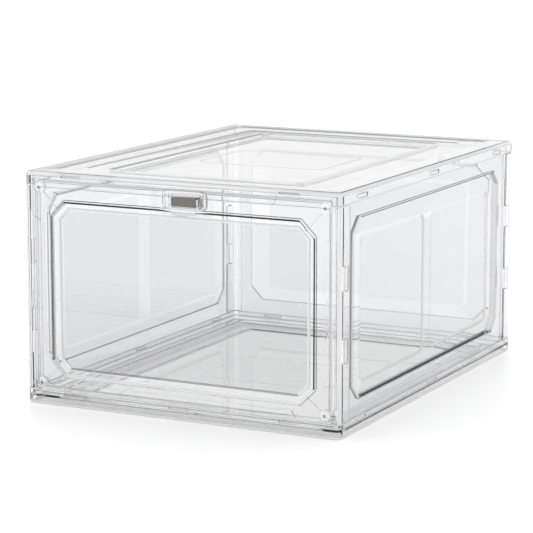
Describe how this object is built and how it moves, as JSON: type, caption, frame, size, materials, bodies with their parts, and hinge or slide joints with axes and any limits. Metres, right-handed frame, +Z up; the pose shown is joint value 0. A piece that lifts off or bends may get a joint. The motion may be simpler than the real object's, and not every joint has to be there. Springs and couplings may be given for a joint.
{
  "type": "storage box",
  "caption": "Clear plastic shoe storage box of snapped-together panels, with a drop-down front door on hinge pegs and a magnetic handle tab.",
  "frame": {"origin": "middle of the box's underside, on the surface it stands on", "axes": "+Z up, front door facing -Y, +Y towards the back wall, +X to the right seen from the front"},
  "size_m": [0.273, 0.352, 0.185],
  "materials": {
    "clear_plastic": "clear, glossy",
    "magnet_coating": "satin"
  },
  "bodies": {
    "box": {"base_panel": "clear_plastic", "top_panel": "clear_plastic", "left_panel": "clear_plastic", "right_panel": "clear_plastic", "back_panel": "clear_plastic", "front_frame": "clear_plastic", "frame_magnet": "magnet_coating"},
    "front_door": {"door": "clear_plastic", "door_magnet": "magnet_coating"}
  },
  "joints": [
    {"name": "door_hinge", "type": "hinge", "parent": "box", "child": "front_door", "pos_m": [0, -0.1726, 0.0166], "axis": [1, 0, 0], "range_deg": [0, 94]}
  ]
}
